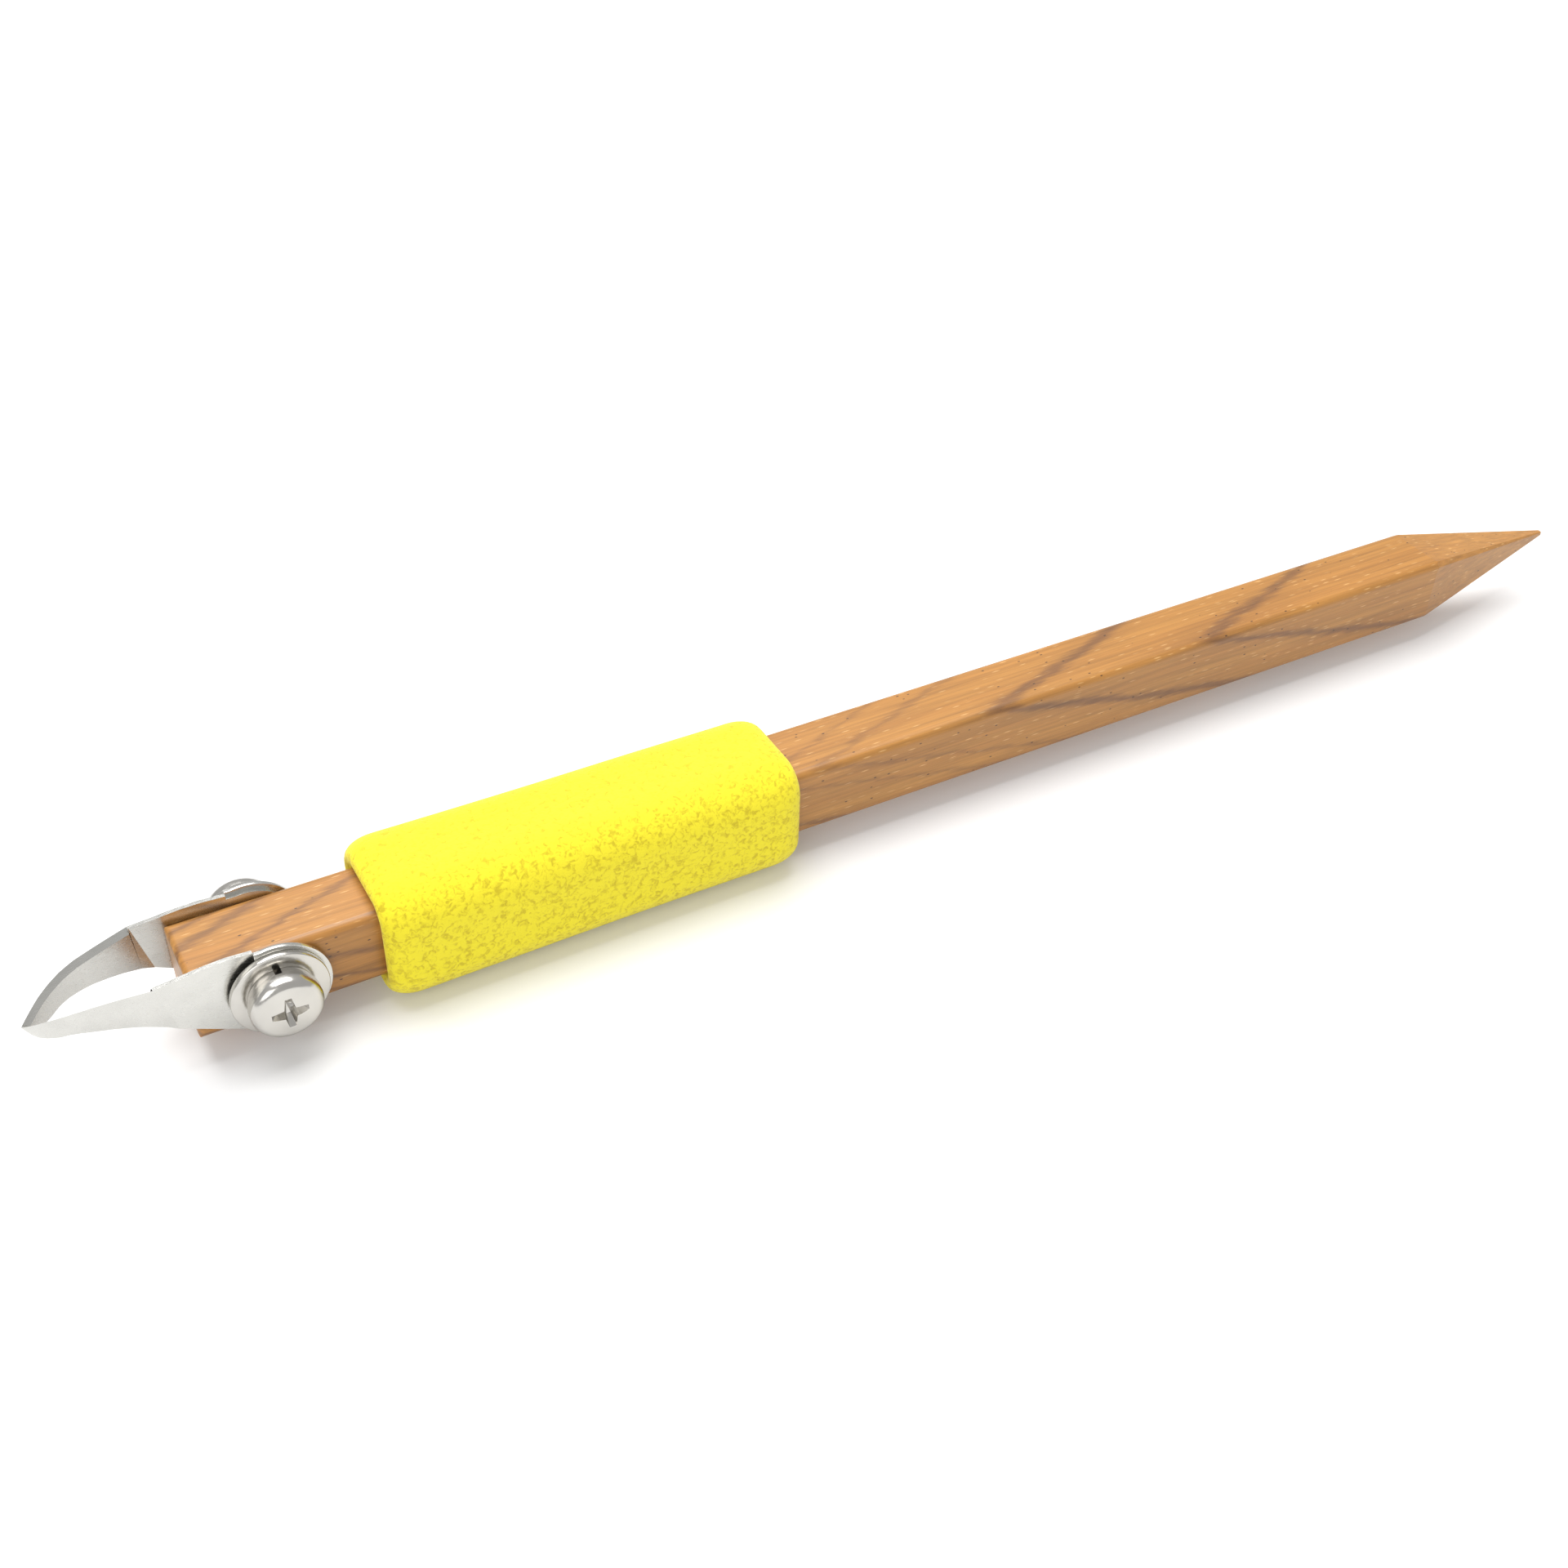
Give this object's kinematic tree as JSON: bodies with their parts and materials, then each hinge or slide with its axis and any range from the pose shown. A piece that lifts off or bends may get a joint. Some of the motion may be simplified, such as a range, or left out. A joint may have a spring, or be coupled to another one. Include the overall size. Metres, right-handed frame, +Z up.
{
  "type": "clay trimming and carving tool",
  "caption": "Clay trimming tool with a square hardwood handle, a wooden shaping point, a foam finger sleeve and a pointed steel loop blade on a clamped pivot.",
  "frame": {"origin": "under the middle of the tool's length, level with the sleeve's underside", "axes": "+X runs from the blade towards the wooden point, +Z is up with the blade's ground edge uppermost, -Y is the left side when looking towards the blade"},
  "size_m": [0.1874, 0.0168, 0.0138],
  "materials": {
    "oiled_hardwood": "striped hardwood with a thin satin oil finish",
    "brass_barrel": "turned, unpolished",
    "yellow_foam": "soft closed-cell foam rubber, matt",
    "blade_steel": "bright cold-rolled spring steel strip with a fine brushed grain",
    "fastener_steel": "stainless steel, tumbled bright"
  },
  "bodies": {
    "handle": {"handle": "oiled_hardwood", "cross_barrel": "brass_barrel"},
    "grip": {"foam_grip": "yellow_foam"},
    "blade": {"blade": "blade_steel", "plate_left": "blade_steel", "plate_right": "blade_steel"},
    "washers_left": {"flat_washer_left": "fastener_steel", "lock_washer_left": "fastener_steel"},
    "screw_left": {"screw_left": "fastener_steel"},
    "washers_right": {"flat_washer_right": "fastener_steel", "lock_washer_right": "fastener_steel"},
    "screw_right": {"screw_right": "fastener_steel"}
  },
  "joints": [
    {"name": "grip_slide", "type": "slide", "parent": "handle", "child": "grip", "axis": [1, 0, 0], "range_m": [-0.003, 0.085]},
    {"name": "blade_pivot", "type": "hinge", "parent": "handle", "child": "blade", "pos_m": [-0.07217, 0, 0.0069], "axis": [0, 1, 0], "range_deg": [-95, 95]},
    {"name": "screw_left_travel", "type": "slide", "parent": "handle", "child": "washers_left", "axis": [0, -1, 0], "range_m": [0, 0.0024]},
    {"name": "screw_left_turn", "type": "hinge", "parent": "washers_left", "child": "screw_left", "pos_m": [-0.07217, 0, 0.0069], "axis": [0, -1, 0], "range_deg": [0, 1090]},
    {"name": "screw_right_travel", "type": "slide", "parent": "handle", "child": "washers_right", "axis": [0, 1, 0], "range_m": [0, 0.0024]},
    {"name": "screw_right_turn", "type": "hinge", "parent": "washers_right", "child": "screw_right", "pos_m": [-0.07217, 0, 0.0069], "axis": [0, 1, 0], "range_deg": [0, 1090]}
  ],
  "couplings": [
    {"joint": "screw_left_turn", "follows": "screw_left_travel", "rad_per_m": 7915.9},
    {"joint": "screw_right_turn", "follows": "screw_right_travel", "rad_per_m": 7915.9}
  ]
}
